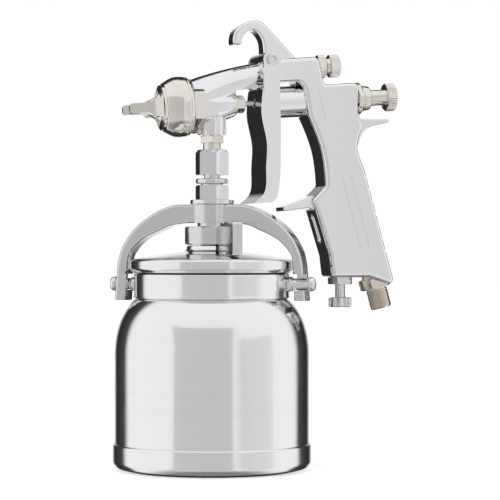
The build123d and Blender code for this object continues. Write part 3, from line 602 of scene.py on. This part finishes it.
# ---- Needle, packing and air valve -----------------------------------------------
# A stainless needle runs from the nozzle to the fluid knob. It passes the packing, squeezed by its
# gland nut, then the air valve that the trigger's web pushes open first.
GUN_LINE = (AXIS_FOOT, gun_way, gun_up)
LATHE_LEAN = TILT - pi / 2
FOOT = (0.0, AXIS_HEIGHT * MM)
nickel = metal("nickel", (0.84, 0.81, 0.75), 0.05, 0.1, wave_mm=6, wave_height=0.006, lines=2.5,
               line_height=0.0025, lean=LATHE_LEAN, foot=FOOT, streak=0.07)
stainless = metal("stainless", (0.68, 0.68, 0.67), 0.12, 0.22, wave_mm=4, wave_height=0.003, lines=5.0,
                  line_height=0.003, lean=LATHE_LEAN, foot=FOOT, streak=0.1)
gland = turned("packing_gland_hexagon", GUN_LINE, [
    (7.0, 1.6), (7.0, 4.2), (12.6, 4.2), (12.6, 6.3), (13.8, 6.3), (13.8, 5.15), (18.2, 5.15),
    (18.8, 4.6), (18.8, 1.6)], soft=0.15, around=240, flats=(9.0, 13.8, 19.0))
stands_for(gland, "packing_gland", nickel)
needle = turned("fluid_needle_ground", GUN_LINE, [
    (-33.2, 0), (-33.2, 0.4), (-30.4, 1.5), (90.0, 1.5), (90.0, 0)], soft=0.2, around=48)
stands_for(needle, "fluid_needle", stainless)
finish_node("needle_packing", white_ptfe)
finish_node("air_valve_seal", white_ptfe)
finish_node("needle_collar", stainless)
finish_node("air_valve", stainless)
finish_node("air_valve_seat", nickel)


def wound(name, line, start, end, coil_r, wire_r, turns):
    """Compression spring: with t from 0 to 1, the wire's middle goes from start to end along the line, one
    wire_r inside both, and coil_r out from it after t * turns turns, with a round section about it."""
    origin, along, across = line
    side = np.cross(along, across)
    share = np.linspace(0, 1, turns * 28)[:, None, None]
    out = np.cos(2 * pi * turns * share) * across + np.sin(2 * pi * turns * share) * side
    middle = origin + (start + wire_r + share * (end - start - 2 * wire_r)) * along + coil_r * out
    section = np.linspace(0, 2 * pi, 10, endpoint=False)[None, :, None]
    return surface(name, middle + wire_r * (np.cos(section) * out + np.sin(section) * along))


# Both springs are drawn squeezed, as with the trigger pulled, because they keep one length in every pose.
needle_spring = wound("needle_spring_wound", GUN_LINE, 66.0, 93.3, 2.3, 0.38, 11)
stands_for(needle_spring, "needle_spring", stainless)
valve_spring = wound("air_valve_spring_wound", GUN_LINE, 49.5, 55.4, 5.4, 0.5, 4)
stands_for(valve_spring, "air_valve_spring", stainless)

# ---- Air head --------------------------------------------------------------------
# Nozzle, distributor, cap and ring, all turned and nickel plated. The ring is screwed on over the
# cap's lip, with a groove behind its crown, and the cap's horns shape the fan.
nozzle = turned("fluid_nozzle_turned", GUN_LINE, [
    (-33.5, 0.9), (-33.5, 1.7), (-30.0, 3.2), (-26.0, 6.4), (-23.0, 6.4), (-23.0, 9.5), (-22.0, 9.5),
    (-22.0, 6.0), (2.0, 6.0), (2.0, 3.0), (-29.0, 3.0)], soft=0.2, around=96)
stands_for(nozzle, "fluid_nozzle", stainless)
finish_node("air_distributor", nickel)
finish_node("air_cap", nickel)
ring = turned("retaining_ring_turned", GUN_LINE, [
    (-29.3, 13.1), (-29.3, 13.9), (-25.6, 16.1), (-23.4, 17.1), (-21.0, 17.5), (-17.0, 17.35),
    (-16.6, 16.9), (-16.0, 16.9), (-15.6, 17.0), (-14.4, 16.3), (-13.7, 15.4), (-13.7, 12.7),
    (-22.4, 12.7), (-22.4, 14.6), (-25.6, 14.6), (-25.6, 13.1)], soft=0.5, around=192)
stands_for(ring, "retaining_ring", nickel)

# ---- Fluid knob and its guide ----------------------------------------------------
# The rear knob sets how far the needle opens. Its plated brass shank screws into the guide, and a
# rubber ring in a groove gives it drag. Fine straight ribs are rolled round the head.
guide = turned("fluid_guide_turned", GUN_LINE, [
    (80.0, 4.7), (80.0, 5.2), (86.7, 5.2), (86.7, 9.1), (87.2, 9.4), (88.9, 9.4), (89.5, 8.9),
    (89.5, 7.4), (90.3, 7.4), (90.6, 7.1), (91.0, 7.1), (91.3, 7.4), (94.6, 7.0), (95.4, 6.3),
    (95.4, 4.7)], soft=0.2, around=144)
stands_for(guide, "fluid_guide", nickel)
knob = turned("fluid_knob_ribbed", GUN_LINE, [
    (89.0, 3.0), (89.0, 4.6), (91.5, 4.6), (91.5, 3.9), (92.5, 3.9), (92.5, 4.6), (104.9, 4.6),
    (105.1, 7.7), (105.7, 8.2), (108.0, 8.2), (110.3, 8.2), (110.8, 7.6), (110.8, 6.0), (109.6, 5.2),
    (109.6, 0), (100.0, 0), (100.0, 3.0)],
    soft=0.3, around=288, ribs=48, rib_depth=0.3, rib_span=(105.4, 110.5))
stands_for(knob, "fluid_knob", nickel)
finish_node("fluid_knob_ring", black_rubber)

# ---- Fan knob and its guide ------------------------------------------------------
# The upper knob closes the air to the cap's horns and so narrows the fan: the same build, smaller.
FAN_LINE = (AXIS_FOOT + 19.7 * gun_up, gun_way, gun_up)
fan_foot = FAN_LINE[0] * MM
fan_nickel = metal("fan_nickel", (0.84, 0.81, 0.75), 0.05, 0.1, wave_mm=6, wave_height=0.006, lines=2.5,
                   line_height=0.0025, lean=LATHE_LEAN, foot=(fan_foot[0], fan_foot[2]), streak=0.07)
fan_guide = turned("fan_guide_ribbed", FAN_LINE, [
    (56.0, 3.1), (56.0, 5.0), (64.6, 5.0), (64.6, 6.4), (65.0, 6.8), (66.8, 6.8), (68.6, 6.8),
    (69.0, 6.4), (69.0, 3.1)], soft=0.2, around=240, ribs=40, rib_depth=0.22, rib_span=(64.8, 68.8))
stands_for(fan_guide, "fan_guide", fan_nickel)
fan_knob = turned("fan_knob_ribbed", FAN_LINE, [
    (50.0, 0), (52.0, 1.6), (53.5, 3.0), (61.5, 3.0), (61.5, 2.3), (62.5, 2.3), (62.5, 3.0),
    (69.8, 3.0), (69.8, 4.8), (71.6, 4.8), (71.6, 6.3), (72.0, 6.7), (74.5, 6.7), (77.0, 6.7),
    (77.5, 6.1), (77.5, 4.6), (76.9, 4.2), (76.9, 0)],
    soft=0.25, around=240, ribs=40, rib_depth=0.25, rib_span=(71.8, 77.2))
stands_for(fan_knob, "fan_knob", fan_nickel)
finish_node("fan_knob_ring", black_rubber)

# ---- Air adjuster ----------------------------------------------------------------
# A valve screwed up into the grip sets the air: a steel bush with a hexagon, and a knob with
# wide flutes for cold or gloved fingers.
AIR_X = 77.5
AIR_LINE = (np.array([AIR_X, 0.0, 0.0]), np.array([0.0, 0.0, 1.0]), np.array([1.0, 0.0, 0.0]))
air_steel = metal("air_steel", (0.78, 0.78, 0.78), 0.08, 0.15, wave_mm=5, wave_height=0.004, lines=3.0,
                  line_height=0.002, foot=(AIR_X * MM, 0.0), streak=0.07)
bush = turned("air_guide_hexagon", AIR_LINE, [
    (106.0, 3.1), (106.0, 6.9), (106.5, 7.5), (109.4, 7.5), (109.9, 7.5), (109.9, 5.5), (121.0, 5.5),
    (121.0, 3.1)], soft=0.15, around=240, flats=(13.0, 105.0, 109.95))
stands_for(bush, "air_guide", air_steel)
air_knob = turned("air_knob_fluted", AIR_LINE, [
    (92.7, 0), (92.7, 6.2), (93.4, 7.0), (95.7, 7.0), (97.9, 7.0), (98.5, 6.2), (98.5, 3.0),
    (114.0, 3.0), (114.0, 2.3), (115.0, 2.3), (115.0, 3.0), (122.0, 3.0), (123.4, 1.4), (123.4, 0)],
    soft=0.3, around=200, ribs=10, rib_depth=0.8, rib_span=(92.8, 98.4))
stands_for(air_knob, "air_knob", air_steel)
finish_node("air_knob_ring", black_rubber)

# ---- Air nipple ------------------------------------------------------------------
# The inlet: a nickel-plated brass nipple with a pipe thread for the hose coupling and a hexagon
# that seats it on the grip's lower corner.
INLET_LEAN = radians(15.3)
inlet_end = np.array([102.9, 0.0, 92.3])
INLET_LINE = (inlet_end, np.array([-sin(INLET_LEAN), 0.0, cos(INLET_LEAN)]),
              np.array([cos(INLET_LEAN), 0.0, sin(INLET_LEAN)]))
THREAD_R = 6.58
PITCH = 1.337
thread_rows = [(reach, THREAD_R) for reach in np.arange(0.8, 10.9, PITCH / 8)]
inlet_foot = (inlet_end[0] * MM, inlet_end[2] * MM)
inlet_nickel = metal("inlet_nickel", (0.78, 0.73, 0.65), 0.08, 0.16, wave_mm=5, wave_height=0.006,
                     lines=2.5, line_height=0.003, lean=INLET_LEAN, foot=inlet_foot, streak=0.1)
nipple = turned("air_nipple_threaded", INLET_LINE, [
    (0, 4.0), (0, 5.8), *thread_rows, (11.1, 5.7), (12.2, 5.7), (12.2, 8.9), (12.9, 9.75),
    (18.4, 9.75), (18.4, 6.6), (27.0, 6.6), (27.0, 4.0)],
    soft=0.2, around=240, flats=(17.0, 12.15, 18.45), thread=(PITCH, 0.75, 0.3, 11.0, 5.5))
stands_for(nipple, "air_nipple", inlet_nickel)
